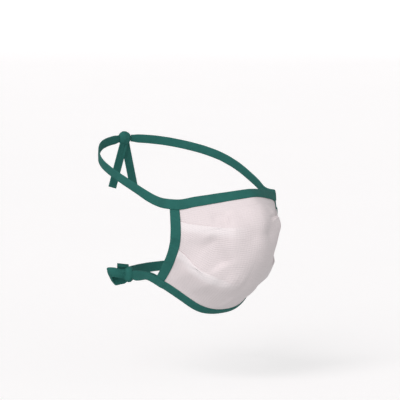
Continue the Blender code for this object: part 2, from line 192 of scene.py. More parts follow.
def spline(places: Sequence[float], values: np.ndarray, wanted: np.ndarray) -> np.ndarray:
    """Read a natural cubic spline.

    Args:
        places: Where the known values lie, in rising order.
        values: The value at each place, a number or an array.
        wanted: Where the spline is read.

    Returns:
        The spline's value at each wanted place.
    """
    places = np.asarray(places, float)
    values = np.asarray(values, float)
    flat = values.reshape(len(places), -1)
    step = np.diff(places)
    system = np.eye(len(places))
    right = np.zeros_like(flat)
    for i in range(1, len(places) - 1):
        system[i, i - 1:i + 2] = (step[i - 1], 2 * (step[i - 1] + step[i]), step[i])
        right[i] = 6 * ((flat[i + 1] - flat[i]) / step[i] - (flat[i] - flat[i - 1]) / step[i - 1])
    bend = np.linalg.solve(system, right)
    wanted = np.atleast_1d(np.asarray(wanted, float))
    low = np.clip(np.searchsorted(places, wanted) - 1, 0, len(places) - 2)
    width = step[low][:, None]
    before = (places[low + 1] - wanted)[:, None] / width
    after = 1 - before
    line = before * flat[low] + after * flat[low + 1]
    curve = (before ** 3 - before) * bend[low] + (after ** 3 - after) * bend[low + 1]
    return (line + curve * width ** 2 / 6).reshape((len(wanted),) + values.shape[1:])


def lengths_along(points: np.ndarray) -> np.ndarray:
    """Measure the way along rows of points.

    Args:
        points: The points, whose second last axis runs along the row.

    Returns:
        The length run through at each point.
    """
    steps = np.linalg.norm(np.diff(points, axis=-2), axis=-1)
    start = np.zeros(steps.shape[:-1] + (1,))
    return np.concatenate([start, np.cumsum(steps, axis=-1)], axis=-1)


def shares_at(lengths: np.ndarray, wanted: np.ndarray) -> np.ndarray:
    """Find where rising rows of lengths reach wanted lengths.

    Args:
        lengths: The rows, as lengths[row][sample].
        wanted: One length for each row.

    Returns:
        For each row, the place as a share of its samples.
    """
    count = lengths.shape[1]
    high = np.clip((lengths < wanted[:, None]).sum(axis=1), 1, count - 1)
    rows = np.arange(len(lengths))
    below = lengths[rows, high - 1]
    above = lengths[rows, high]
    return (high - 1 + (wanted - below) / (above - below)) / (count - 1)


def linked(name: str, data: bpy.types.ID) -> bpy.types.Object:
    """Put a new object into the scene.

    Args:
        name: The new object's name.
        data: The mesh, lamp or camera that it shows.

    Returns:
        The new object.
    """
    thing = bpy.data.objects.new(name, data)
    bpy.context.scene.collection.objects.link(thing)
    return thing


def surface(name: str, grid: np.ndarray, flat: np.ndarray, closed: bool = False) -> bpy.types.Object:
    """Make an open surface from a grid of points.

    Args:
        name: The new object's name.
        grid: The points, as grid[row][column].
        flat: The place of each point on the flat cloth, in metres, as flat[row][column].
        closed: True if the last row runs on into the first.

    Returns:
        The new object, linked to the scene.
    """
    rows, columns = grid.shape[:2]
    index = np.arange(rows * columns).reshape(rows, columns)
    if closed:
        index = np.concatenate([index, index[:1]])
    corners = np.stack([index[:-1, :-1], index[:-1, 1:], index[1:, 1:], index[1:, :-1]], axis=-1)
    faces = corners.reshape(-1, 4)
    mesh = bpy.data.meshes.new(name)
    mesh.from_pydata(grid.reshape(-1, 3).tolist(), [], faces.tolist())
    places = mesh.uv_layers.new(name="flat_place")
    places.data.foreach_set("uv", flat.reshape(-1, 2)[faces.ravel()].astype(np.float32).ravel())
    mesh.shade_smooth()
    return linked(name, mesh)


def wander(points: np.ndarray, grain: float, seed: float) -> np.ndarray:
    """Read smooth noise at each point.

    Args:
        points: The places, along the last axis.
        grain: About how wide the noise's bumps are, in metres.
        seed: Sets which noise is read.

    Returns:
        A number from about -1 to 1 for each point.
    """
    shift = Vector((seed, -seed, 2 * seed))
    flat = points.reshape(-1, 3) / grain
    values = [noise.noise(Vector(point) + shift) for point in flat]
    return np.array(values).reshape(points.shape[:-1])


class Nodes:
    """A material's node tree, with short calls for the nodes that the finishes use."""

    def __init__(self, name: str) -> None:
        """Start a material with a plain shader.

        Args:
            name: The material's name.
        """
        self.material = bpy.data.materials.new(name)
        self.material.use_nodes = True
        self.tree = self.material.node_tree
        self.shader = self.tree.nodes["Principled BSDF"]

    def feed(self, socket: bpy.types.NodeSocket, value: object) -> None:
        """Give a node's input its value.

        Args:
            socket: The input.
            value: A socket that is linked to it, or a value that it is set to.
        """
        if isinstance(value, bpy.types.NodeSocket):
            self.tree.links.new(value, socket)
        else:
            socket.default_value = value

    def dress(self, settings: dict[str, object]) -> None:
        """Feed the shader's inputs by name."""
        for name, value in settings.items():
            self.feed(self.shader.inputs[name], value)

    def math(self, operation: str, *values: object) -> bpy.types.NodeSocket:
        """Add a Math node.

        Args:
            operation: What it does.
            *values: What its inputs take.

        Returns:
            Its result.
        """
        node = self.tree.nodes.new("ShaderNodeMath")
        node.operation = operation
        for socket, value in zip(node.inputs, values):
            self.feed(socket, value)
        return node.outputs[0]

    def mix(self, share: object, first: object, second: object) -> bpy.types.NodeSocket:
        """Mix two colours.

        Args:
            share: The second colour's share.
            first: The first colour.
            second: The second colour.

        Returns:
            The colour between them.
        """
        node = self.tree.nodes.new("ShaderNodeMix")
        node.data_type = "RGBA"
        self.feed(node.inputs["Factor"], share)
        self.feed(node.inputs[6], first)
        self.feed(node.inputs[7], second)
        return node.outputs[2]

    def flat_place(self) -> tuple[bpy.types.NodeSocket, bpy.types.NodeSocket]:
        """Read the place on the flat cloth.

        Returns:
            The metres along the cloth's rows, and those down its columns.
        """
        place = self.tree.nodes.new("ShaderNodeUVMap")
        place.uv_map = "flat_place"
        split = self.tree.nodes.new("ShaderNodeSeparateXYZ")
        self.tree.links.new(place.outputs[0], split.inputs[0])
        return split.outputs[0], split.outputs[1]

    def attribute(self, name: str) -> bpy.types.NodeSocket:
        """Read a number that the mesh carries at its points.

        Args:
            name: The number's name on the mesh.

        Returns:
            The number.
        """
        node = self.tree.nodes.new("ShaderNodeAttribute")
        node.attribute_name = name
        return node.outputs["Fac"]

    def noise(self, scale: float, detail: float = 2.0, at: object = None) -> bpy.types.NodeSocket:
        """Add a noise.

        Args:
            scale: How many bumps there are in a unit of length.
            detail: How many finer noises lie over the first.
            at: The place to read it at, or None for the place in object space.

        Returns:
            The noise's value, from 0 to 1.
        """
        if at is None:
            at = self.tree.nodes.new("ShaderNodeTexCoord").outputs["Object"]
        node = self.tree.nodes.new("ShaderNodeTexNoise")
        for name, value in (("Scale", scale), ("Detail", detail), ("Vector", at)):
            self.feed(node.inputs[name], value)
        return node.outputs[0]

    def place(self, x: object, y: object) -> bpy.types.NodeSocket:
        """Join two numbers to a vector.

        Args:
            x: The first.
            y: The second.

        Returns:
            The vector.
        """
        node = self.tree.nodes.new("ShaderNodeCombineXYZ")
        self.feed(node.inputs[0], x)
        self.feed(node.inputs[1], y)
        return node.outputs[0]

    def wave(self, along: object, pitch: float, shift: object = 0.0) -> bpy.types.NodeSocket:
        """Return a sine wave from -1 to 1 with the given pitch in metres."""
        turns = self.math("MULTIPLY_ADD", along, 2 * math.pi / pitch, shift)
        return self.math("SINE", turns)

    def bump(self, height: object, distance: float) -> None:
        """Lay a height under the shader's normal.

        Args:
            height: The height, as a share.
            distance: What a height of 1 stands for, in metres.
        """
        node = self.tree.nodes.new("ShaderNodeBump")
        self.feed(node.inputs["Distance"], distance)
        self.feed(node.inputs["Height"], height)
        self.feed(self.shader.inputs["Normal"], node.outputs[0])


@dataclass(frozen=True)
class ClothFinish:
    """Matt white woven cloth with a fine rib, whiter where it lies doubled."""

    name: str = "woven white cloth"
    single: tuple[float, float, float, float] = (0.800, 0.728, 0.738, 1.0)
    doubled: tuple[float, float, float, float] = (0.868, 0.815, 0.825, 1.0)
    rib_pitch: float = 0.0021
    rib_share: float = 0.62
    warp_pitch: float = 0.0027
    warp_share: float = 0.38
    wobble_scale: float = 90.0
    wobble: float = 5.0
    base_tone: float = 0.965
    weave_tone: float = 0.022
    slub_along: float = 140.0
    slub_down: float = 900.0
    slub_tone: float = 0.06
    slub_height: float = 0.8
    mottle_scale: float = 38.0
    mottle_tone: float = 0.05
    detail: float = 3.0
    relief: float = 0.00013
    roughness: float = 0.85
    sheen: float = 0.15

    def material(self) -> bpy.types.Material:
        """Make the cloth's material.

        Returns:
            The material.
        """
        nodes = Nodes(self.name)
        along, down = nodes.flat_place()
        wobble = nodes.math("MULTIPLY", nodes.noise(self.wobble_scale), self.wobble)
        rib = nodes.math("MULTIPLY", nodes.wave(down, self.rib_pitch, wobble), self.rib_share)
        warp = nodes.math("MULTIPLY", nodes.wave(along, self.warp_pitch, wobble), self.warp_share)
        weave = nodes.math("ADD", rib, warp)
        slub_place = nodes.place(
            nodes.math("MULTIPLY", along, self.slub_along),
            nodes.math("MULTIPLY", down, self.slub_down),
        )
        slub = nodes.noise(1.0, self.detail, slub_place)
        mottle = nodes.noise(self.mottle_scale, self.detail)
        white = nodes.mix(nodes.attribute("doubled"), self.single, self.doubled)
        shade = nodes.math("MULTIPLY_ADD", weave, self.weave_tone, self.base_tone)
        for speckle, tone in ((slub, self.slub_tone), (mottle, self.mottle_tone)):
            shade = nodes.math("ADD", shade, nodes.math("MULTIPLY_ADD", speckle, tone, -tone / 2))
        nodes.dress({
            "Base Color": nodes.mix(shade, BLACK, white),
            "Roughness": self.roughness,
            "Sheen Weight": self.sheen,
        })
        nodes.bump(nodes.math("ADD", weave, nodes.math("MULTIPLY", slub, self.slub_height)), self.relief)
        return nodes.material


@dataclass(frozen=True)
class TapeFinish:
    """Matt woven tape or its thread, with fine diagonal threads."""

    name: str
    colour: tuple[float, float, float, float]
    worn: tuple[float, float, float, float]
    thread_pitch: float = 0.00055
    weave_tone: float = 0.10
    mottle_scale: float = 120.0
    mottle_detail: float = 4.0
    mottle_tone: float = 0.9
    fibre_scale: float = 1600.0
    fibre_tone: float = 0.3
    fibre_height: float = 0.8
    darker: float = 0.10
    relief: float = 0.00005
    roughness: float = 0.85
    glint: float = 0.20

    def material(self) -> bpy.types.Material:
        """Make the tape's material, only once.

        Returns:
            The material.
        """
        known = bpy.data.materials.get(self.name)
        if known:
            return known
        nodes = Nodes(self.name)
        along, across = nodes.flat_place()
        one = nodes.wave(nodes.math("ADD", along, across), self.thread_pitch)
        two = nodes.wave(nodes.math("SUBTRACT", along, across), self.thread_pitch)
        weave = nodes.math("MULTIPLY", one, two)
        mottle = nodes.noise(self.mottle_scale, self.mottle_detail)
        fibres = nodes.noise(self.fibre_scale)
        tone = nodes.math("MULTIPLY", mottle, self.mottle_tone)
        tone = nodes.math("MULTIPLY_ADD", weave, self.weave_tone, tone)
        tone = nodes.math("SUBTRACT", tone, self.darker)
        tone = nodes.math("MULTIPLY_ADD", fibres, self.fibre_tone, tone)
        nodes.dress({
            "Base Color": nodes.mix(tone, self.colour, self.worn),
            "Roughness": self.roughness,
            "Specular IOR Level": self.glint,
        })
        nodes.bump(nodes.math("MULTIPLY_ADD", fibres, self.fibre_height, weave), self.relief)
        return nodes.material


CLOTH_FINISH = ClothFinish()
TAPE_FINISH = TapeFinish("woven green tape", (0.016, 0.118, 0.100, 1.0), (0.030, 0.165, 0.142, 1.0))
THREAD_FINISH = TapeFinish("green sewing thread", (0.022, 0.140, 0.120, 1.0), (0.038, 0.185, 0.160, 1.0))


def dress(
    piece: bpy.types.Object, finish: ClothFinish | TapeFinish, node: str | None = None
) -> None:
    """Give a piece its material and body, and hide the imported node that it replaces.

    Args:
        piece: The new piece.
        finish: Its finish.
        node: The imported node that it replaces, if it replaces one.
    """
    piece.data.materials.append(finish.material())
    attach(piece, BODY)
    if node:
        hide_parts(node)


def thicken(thing: bpy.types.Object, wall: float) -> None:
    """Give an open surface its wall, half to each side.

    Args:
        thing: The surface.
        wall: The wall's thickness, in metres.
    """
    solid = thing.modifiers.new("Wall", "SOLIDIFY")
    solid.thickness = wall
    solid.offset = 0.0


def tape_surface(name: str, node: str, sections: np.ndarray, closed: bool = False) -> bpy.types.Object:
    """Make a tape from its sections, with its wall and finish.

    Args:
        name: The new piece's name.
        node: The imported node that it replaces.
        sections: The tape's points, as sections[station][place].
        closed: True if the tape runs back into its own start.

    Returns:
        The new piece.
    """
    run = lengths_along(sections.mean(axis=1))
    across = lengths_along(sections)
    flat = np.stack([np.broadcast_to(run[:, None], across.shape), across], axis=-1)
    tape = surface(name, sections, flat, closed)
    thicken(tape, TAPE_WALL)
    dress(tape, TAPE_FINISH, node)
    return tape


class CupForm:
    """The smooth surface of the worn mask, without pleats.

    A place on it is a pair of shares: across, from -1 at the wearer's right side over 0 in the
    middle to 1 at the left side, and down, from the top edge to the bottom edge.
    """

    SAMPLES = 61
    NUDGE = 0.004

    def __init__(self, rows: Sequence[GuideRow]) -> None:
        """Lay the guide rows' rails and measure the columns.

        Args:
            rows: The guide rows, from the top edge to the bottom edge.
        """
        scale = np.array((HALF_WIDTH, WORN_DEPTH, WORN_HEIGHT))
        self.rails = np.array([
            [
                scale * (0, row.middle_back, row.middle_up),
                scale * (row.front_out, row.middle_back, row.middle_up),
                scale * (row.cheek_out, row.cheek_back, row.cheek_up),
                scale * (row.side_out, row.side_back, row.side_up),
            ]
            for row in rows
        ])
        middle = lengths_along(self.rails[:, 0])
        side = lengths_along(self.rails[:, 3])
        self.places = (middle + side) / (middle[-1] + side[-1])
        shares = np.linspace(0, 1, self.SAMPLES)
        grid_across, grid_down = np.meshgrid(shares, shares, indexing="ij")
        grid = self.points(grid_across.ravel(), grid_down.ravel())
        self.column_lengths = lengths_along(grid.reshape(self.SAMPLES, self.SAMPLES, 3))

    def points(self, across: np.ndarray, down: np.ndarray) -> np.ndarray:
        """Find places on the surface.

        Args:
            across: Each place's share across.
            down: Each place's share down.

        Returns:
            The point at each place.
        """
        down = np.clip(down, 0, 1)
        rails = spline(self.places, self.rails, down)
        shares = np.linspace(0, 1, self.SAMPLES)
        lengths = lengths_along(self.row_curve(rails[:, None], shares[None, :, None]))
        aside = np.clip(np.abs(across), 0, 1)
        at = shares_at(lengths, aside * lengths[:, -1])
        found = self.row_curve(rails, at[:, None])
        found[:, 0] *= np.where(across < 0, -1, 1)
        for shift in EDGE_SHIFTS:
            from_edge = down if shift.edge is Edge.TOP else 1 - down
            near = np.exp(-((aside - shift.across) / shift.reach) ** 2)
            found[:, 2] += shift.rise * near * (1 - smooth_step(from_edge / shift.depth))
        return found

    @staticmethod
    def row_curve(rails: np.ndarray, share: np.ndarray) -> np.ndarray:
        """Read the cubic curve of each row.

        Args:
            rails: The rows' four guide points, as rails[row][..., guide, axis].
            share: Where each curve is read, from 0 to 1.

        Returns:
            The points on the curves.
        """
        rest = 1 - share
        return (
            rest ** 3 * rails[..., 0, :]
            + 3 * rest ** 2 * share * rails[..., 1, :]
            + 3 * rest * share ** 2 * rails[..., 2, :]
            + share ** 3 * rails[..., 3, :]
        )

    def normals(self, across: np.ndarray, down: np.ndarray) -> np.ndarray:
        """Find the directions out of the surface.

        Args:
            across: Each place's share across.
            down: Each place's share down.

        Returns:
            The outward normal at each place.
        """
        nudge = self.NUDGE
        downward = self.points(across, down + nudge) - self.points(across, down - nudge)
        sideward = self.points(across + nudge, down) - self.points(across - nudge, down)
        return unit(np.cross(downward, sideward))

    def column(self, across: np.ndarray) -> np.ndarray:
        """Measure columns of the cloth.

        Args:
            across: Where the columns lie, from -1 to 1.

        Returns:
            The lengths run down the cloth at each sample of each column.
        """
        place = np.clip(np.abs(across), 0, 1) * (self.SAMPLES - 1)
        low = np.minimum(place.astype(int), self.SAMPLES - 2)
        share = (place - low)[:, None]
        return (1 - share) * self.column_lengths[low] + share * self.column_lengths[low + 1]

    def heights(self, across: np.ndarray) -> np.ndarray:
        """Return the cloth's height, along its surface, at across."""
        return self.column(across)[:, -1]

    def down_at(self, across: np.ndarray, distance: np.ndarray) -> np.ndarray:
        """Return down for a distance from the top edge along the surface."""
        return shares_at(self.column(across), distance)

    def lifted(self, across: np.ndarray, distance: np.ndarray, lift: np.ndarray) -> np.ndarray:
        """Return the points at distances down the columns at across, raised outwards by lift."""
        down = self.down_at(across, distance)
        return self.points(across, down) + self.normals(across, down) * lift[:, None]


class PleatPlace(NamedTuple):
    """Where a pleat's outer fold edge runs: down the cloth, at a share of the half row."""

    across: float
    down: float


class Opening(NamedTuple):
    """How a pleat opens on one half.

    It has opened at the share across, its crease fades on over fade, and the whiteness of doubled
    cloth runs on to white. Its fold edge lies lower by shift, a share of the cloth's height, and
    stands off the cloth by mouth, in metres.
    """

    at: float
    fade: float
    white: float
    shift: float
    mouth: float


@dataclass
class Pleat:
    """One pleat: folded in three layers at the side tape, opening towards the middle.

    The cloth runs down under the pleat, turns up at the inner fold edge and down again at the
    outer one, so the outer layer lies two layers above the cloth and eases down below the fold.
    Puff raises the outer layer, and spread lengthens the slope below it away from the side tapes.
    Where the crease has gone, the hidden layers take up only flat_fold of the cloth's height.
    """

    form: CupForm
    line: tuple[PleatPlace, ...]
    near: Opening
    far: Opening
    puff: float
    spread: float
    spread_reach: float = 0.25
    depth: float = 0.0170
    margin: float = 0.0006
    ramp: float = 0.0048
    settle: float = 0.16
    flat_fold: float = 0.0024
    between_tone: float = 0.5
    tone_enter: float = 0.0016
    tone_start: float = 0.0040
    tone_fade: float = 0.0070
    tone_reach: float = 0.35
    layer: float = CLOTH + AIR
    ramp_stations: int = 10
    run_stations: int = 9
    turn_stations: int = 7

    def opening(self, across: np.ndarray) -> Opening:
        """Return the opening's values on the half that each across lies on."""
        return Opening(*(np.where(across < 0, near, far) for near, far in zip(self.near, self.far)))

    def inwards(self, across: np.ndarray) -> np.ndarray:
        """Return 0 at the side tapes, rising to 1 over settle."""
        return smooth_step((1 - np.abs(across)) / self.settle)

    def overlap(self, across: np.ndarray) -> np.ndarray:
        """Return how deep the layers overlap, down to 0 where the pleat has opened."""
        open_at = self.opening(across).at
        return np.maximum(self.depth * (np.abs(across) - open_at) / (1 - open_at), 0)

    def crease(self, across: np.ndarray) -> np.ndarray:
        """Return how much of the step between the layers is left: 1 folded, 0 flat."""
        opening = self.opening(across)
        return smooth_step((np.abs(across) - opening.at + opening.fade) / opening.fade)

    def outer(self, across: np.ndarray) -> np.ndarray:
        """Follow the outer fold edge.

        Args:
            across: Where the columns lie, from -1 to 1.

        Returns:
            How far down the cloth it lies at each column.
        """
        aside = np.abs(across)
        places, downs = zip(*self.line)
        shift = self.opening(across).shift * smooth_step(aside / self.settle) * self.inwards(across)
        return (spline(places, downs, aside) + shift) * self.form.heights(across)

    def tone(self, across: np.ndarray, below: np.ndarray) -> np.ndarray:
        """Find where the cloth looks doubled.

        Args:
            across: Where the columns lie, from -1 to 1.
            below: The distances below the outer fold edge.

        Returns:
            How doubled it looks, from 0 to 1.
        """
        shown = smooth_step((np.abs(across) - self.opening(across).white) / self.tone_reach)
        shown = shown * smooth_step(1 + below / self.tone_enter)
        return shown * (1 - smooth_step((below - self.tone_start) / self.tone_fade))

    def span(self, across: np.ndarray) -> tuple[np.ndarray, ...]:
        """Find where the pleat's parts begin and end.

        Args:
            across: Where the columns lie, from -1 to 1.

        Returns:
            The distances of its start, its outer and inner fold edges, its full end and its soft end.
        """
        outer = self.outer(across)
        inner = outer + self.overlap(across)
        ramp = self.ramp + self.spread * smooth_step((1 - np.abs(across)) / self.spread_reach)
        return outer - 2 * self.layer - self.margin, outer, inner, inner + self.margin, inner + ramp

    def swell(self, across: np.ndarray, distance: np.ndarray) -> np.ndarray:
        """Find how far the pleat's layers push up what lies over them.

        Args:
            across: Where the columns lie, from -1 to 1.
            distance: The places' distances down the cloth.

        Returns:
            The height at each place.
        """
        enter, outer, _, over, leave = self.span(across)
        rise = smooth_step((distance - enter + self.margin) / (outer - enter))
        fall = 1 - smooth_step((distance - over) / (leave - over))
        return 2 * self.layer * rise * fall

    def stations(self, across: np.ndarray) -> list[tuple[np.ndarray, np.ndarray, np.ndarray]]:
        """Follow the cloth down through the pleat.

        Args:
            across: The columns.

        Returns:
            For each station, the distances, the lifts, and 1 where it looks like doubled cloth.
        """
        enter, outer, inner, over, leave = self.span(across)
        crease = self.crease(across)
        mouth = self.opening(across).mouth * self.inwards(across)
        loose = self.puff * self.inwards(across)
        level = np.zeros_like(across)
        radius = self.layer / 2
        runs = np.linspace(0, 1, self.run_stations)[1:-1]
        turns = np.radians(np.linspace(-90, 90, self.turn_stations))
        path = [(enter, level, 0.0)]
        path += [(enter + (inner - enter) * share, level, 0.0) for share in runs]
        for turn in turns:
            lift = level + radius * (1 + math.sin(turn))
            path.append((inner + radius * math.cos(turn), lift, 0.0))
        for share in runs:
            path.append((inner + (outer - inner) * share, self.layer + mouth * share, self.between_tone))
        for turn in turns:
            lift = self.layer + radius * (1 + math.sin(turn)) + mouth
            path.append((outer - radius * math.cos(turn), lift, 1.0))
        inside = len(path)
        for share in runs:
            pillow = loose * math.sin(math.pi * share) + mouth * (1 - share)
            path.append((outer + (over - outer) * share, 2 * self.layer + pillow, 1.0))
        for share in np.linspace(0, 1, self.ramp_stations):
            eased = level + 2 * self.layer * (1 - smooth_step(share))
            path.append((over + (leave - over) * share, eased, 1.0))
        rest = leave - enter - self.flat_fold
        outside = len(path) - 1 - inside
        stations = []
        for i, (distance, lift, on_top) in enumerate(path):
            flat = enter + self.flat_fold * min(i / inside, 1) + rest * max(i - inside, 0) / outside
            place = flat + (distance - flat) * crease
            seen = 1 - (1 - on_top) * crease
            stations.append((place, lift * crease, seen * self.tone(across, place - outer)))
        return stations


@dataclass(frozen=True)
class SoftFold:
    """A soft ridge or valley in the cloth, drawn along a line of places on it.

    The line's places are across and down shares. Left and right are the widths of its two flanks
    as one goes along it, in metres, and rise is its height, below 0 for a valley.
    """

    line: tuple[tuple[float, float], ...]
    rise: float
    left: float
    right: float
    halves: tuple[Half, ...] = (Half.NEAR, Half.FAR)
    tail: float = 0.25
    samples: int = 18

    def heights(self, form: CupForm, across: np.ndarray, distance: np.ndarray) -> np.ndarray:
        """Return the fold's height at arrays of across and distance."""
        return sum(self.on_half(form, across * half.value, distance) for half in self.halves)

    def on_half(self, form: CupForm, across: np.ndarray, distance: np.ndarray) -> np.ndarray:
        """Find the fold's height on one half.

        Args:
            form: The cup that the fold lies on.
            across: The places' shares across, above 0 on the half that the fold lies on.
            distance: The places' distances down the cloth.

        Returns:
            The height at each place.
        """
        places = np.array(self.line)
        shares = np.linspace(0, 1, len(places))
        drawn = spline(shares, places, np.linspace(0, 1, self.samples))
        line = np.stack([drawn[:, 0] * MEAN_HALF_ROW, drawn[:, 1] * form.heights(drawn[:, 0])], axis=1)
        point = np.stack([across * MEAN_HALF_ROW, distance], axis=-1)[..., None, :]
        start = line[:-1]
        along = line[1:] - start
        at = ((point - start) * along).sum(-1) / (along ** 2).sum(-1)
        inside = np.clip(at, 0, 1)
        offset = point - start - inside[..., None] * along
        away = np.linalg.norm(offset, axis=-1)
        nearest = away.argmin(axis=-1)[..., None]
        away = np.take_along_axis(away, nearest, -1)[..., 0]
        turned = along[:, 0] * offset[..., 1] - along[:, 1] * offset[..., 0]
        side = np.take_along_axis(turned, nearest, -1)[..., 0]
        width = np.where(side < 0, self.left, self.right)
        place = (nearest[..., 0] + np.take_along_axis(inside, nearest, -1)[..., 0]) / (self.samples - 1)
        ends = smooth_step(place / self.tail) * smooth_step((1 - place) / self.tail)
        return self.rise * np.exp(-(away / width) ** 2) * ends


NEAR_ONLY = (Half.NEAR,)
FAR_ONLY = (Half.FAR,)

# Cheek dents, upright crest, ridge under the lower pleat, end of the upper pleat, crease at the
# chin, brow over the nose, hollow under it, ridge over the chin, dimple, drawn-in far side, the
# upper pleat's hook there, and three wrinkles at the nose
SOFT_FOLDS = (
    SoftFold(((0.62, 0.31), (0.54, 0.41), (0.45, 0.50), (0.38, 0.55)), -0.0032, 0.0085, 0.0075),
    SoftFold(((0.80, 0.36), (0.70, 0.43), (0.60, 0.47)), -0.0005, 0.0060, 0.0060),
    SoftFold(
        ((0.20, 0.10), (0.32, 0.21), (0.35, 0.32), (0.29, 0.46), (0.14, 0.76)),
        0.0025, 0.0060, 0.0120,
    ),
    SoftFold(
        ((0.84, 0.560), (0.64, 0.640), (0.48, 0.700), (0.28, 0.735)),
        0.0046, 0.0120, 0.0110, tail=0.35,
    ),
    SoftFold(((0.52, 0.27), (0.40, 0.275), (0.28, 0.285)), 0.0004, 0.0035, 0.0050),
    SoftFold(((0.12, 0.91), (0.10, 0.85), (0.07, 0.77)), 0.0009, 0.0026, 0.0034),
    SoftFold(((-0.44, 0.145), (0.00, 0.150), (0.28, 0.160)), 0.0018, 0.0075, 0.0115, NEAR_ONLY, 0.4),
    SoftFold(((-0.38, 0.300), (0.00, 0.310), (0.36, 0.305)), -0.0050, 0.0115, 0.0160, NEAR_ONLY, 0.35),
    SoftFold(((0.06, 0.635), (0.20, 0.650), (0.38, 0.67)), 0.0024, 0.0170, 0.0130, NEAR_ONLY, 0.4),
    SoftFold(((0.60, 0.180), (0.46, 0.185), (0.34, 0.190)), -0.0024, 0.0060, 0.0075, NEAR_ONLY, 0.35),
    SoftFold(((0.34, 0.22), (0.24, 0.46), (0.18, 0.74)), -0.0032, 0.0220, 0.0220, FAR_ONLY, 0.25),
    SoftFold(((0.12, 0.206), (0.34, 0.198), (0.60, 0.186)), -0.0012, 0.0016, 0.0014, FAR_ONLY, 0.15),
    SoftFold(((-0.18, 0.100), (0.02, 0.094), (0.26, 0.096)), 0.00060, 0.0014, 0.0019, NEAR_ONLY, 0.3),
    SoftFold(((-0.20, 0.124), (0.04, 0.119), (0.28, 0.123)), 0.00065, 0.0014, 0.0019, NEAR_ONLY, 0.3),
    SoftFold(((-0.16, 0.148), (0.08, 0.144), (0.24, 0.150)), 0.00050, 0.0014, 0.0019, NEAR_ONLY, 0.3),
)


@dataclass
class ClothPanel:
    """The pleated panel of woven cloth."""

    form: CupForm
    pleats: tuple[Pleat, Pleat]
    folds: tuple[SoftFold, ...] = SOFT_FOLDS
    half_columns: int = 88
    edge_rest: float = 0.0130
    ripple: float = 0.00035
    ripple_grain: float = 0.0160
    ripple_seed: float = 3.1
    runs: tuple[int, int, int] = (60, 26, 48)

    def columns(self) -> np.ndarray:
        """Return where the columns lie across the panel."""
        last = 1 - EDGE_INSET / MEAN_HALF_ROW
        return np.linspace(-last, last, 2 * self.half_columns + 1)

    def relief(self, across: np.ndarray, distance: np.ndarray) -> np.ndarray:
        """Find how far the soft folds raise the cloth, down to nothing under the tapes.

        Args:
            across: The places' shares across.
            distance: The places' distances down the cloth.

        Returns:
            The height at each place.
        """
        height = self.form.heights(across.ravel()).reshape(across.shape)
        total = sum(fold.heights(self.form, across, distance) for fold in self.folds)
        to_edge = np.minimum(distance, height - distance)
        to_edge = np.minimum(to_edge, (1 - np.abs(across)) * MEAN_HALF_ROW)
        return total * smooth_step((to_edge - TAPE_WIDTH) / self.edge_rest)

    def build(self) -> list[bpy.types.Object]:
        """Make the panel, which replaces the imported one.

        Returns:
            The panel alone.
        """
        across = self.columns()
        level = np.zeros_like(across)
        last = self.form.heights(across) - EDGE_INSET
        above, between, below = self.runs
        upper, lower = (pleat.stations(across) for pleat in self.pleats)
        path = [(level + EDGE_INSET, level, level)]
        path += self.plain_run(level + EDGE_INSET, upper[0][0], above)
        path += upper
        path += self.plain_run(upper[-1][0], lower[0][0], between)
        path += lower
        path += self.plain_run(lower[-1][0], last, below)
        path.append((last, level, level))
        distance, lift, doubled = (np.array([station[i] + level for station in path]) for i in range(3))
        wide = np.broadcast_to(across, distance.shape)
        lift = lift + self.relief(wide, distance)
        ripple = wander(self.raised(distance, lift), self.ripple_grain, self.ripple_seed) * self.ripple
        lift = lift + ripple * smooth_step((1 - np.abs(wide)) * MEAN_HALF_ROW / self.edge_rest)
        grid = self.raised(distance, lift)
        flat = np.stack([wide * MEAN_HALF_ROW, lengths_along(grid.transpose(1, 0, 2)).T], axis=-1)
        panel = surface("pleated_cloth_panel", grid, flat)
        tone = panel.data.attributes.new("doubled", "FLOAT", "POINT")
        tone.data.foreach_set("value", doubled.astype(np.float32).ravel())
        thicken(panel, CLOTH)
        dress(panel, CLOTH_FINISH, "mask_panel")
        return [panel]

    def raised(self, distance: np.ndarray, lift: np.ndarray) -> np.ndarray:
        """Return the panel's points for rows of distances and lifts."""
        across = self.columns()
        return np.array([self.form.lifted(across, *row) for row in zip(distance, lift)])

    @staticmethod
    def plain_run(first: np.ndarray, last: np.ndarray, count: int) -> list[tuple[np.ndarray, ...]]:
        """Return count single-layer stations spread evenly between two distances."""
        shares = [(i + 1) / (count + 1) for i in range(count)]
        return [(first + (last - first) * share, 0 * first, 0 * first) for share in shares]


@dataclass(frozen=True)
class FoldedSection:
    """The section of a folded tape, from one leaf's free edge round the fold to the other's."""

    width: float = TAPE_WIDTH
    leaf_points: int = 9
    fold_points: int = 7
    pillow: float = 0.00018
    sewn_at: float = 0.0013
    sewn_dip: float = 0.00012
    sewn_reach: float = 0.0009

    def places(self, half_gap: float) -> list[tuple[float, float]]:
        """Lay out the section.

        Args:
            half_gap: How far each leaf lies from the middle.

        Returns:
            Pairs of the distance from the folded edge and the height above the middle.
        """
        leaf = []
        for share in np.linspace(1, 0, self.leaf_points, endpoint=False):
            inset = half_gap + (self.width - half_gap) * share
            from_free = self.width - inset
            crown = self.pillow * math.sin(math.pi * share)
            dip = self.sewn_dip * math.exp(-((from_free - self.sewn_at) / self.sewn_reach) ** 2)
            leaf.append((inset, half_gap + crown - dip))
        fold = []
        for angle in np.radians(np.linspace(90, -90, self.fold_points)):
            fold.append((half_gap * (1 - math.cos(angle)), half_gap * math.sin(angle)))
        return leaf + fold + [(inset, -height) for inset, height in reversed(leaf)]


SECTION = FoldedSection()
STRIP_SECTION = FoldedSection(leaf_points=19)
BINDING_HALF_GAP = CLOTH / 2 + AIR + TAPE_WALL / 2
TIE_HALF_GAP = TAPE_WALL / 2 + AIR / 2


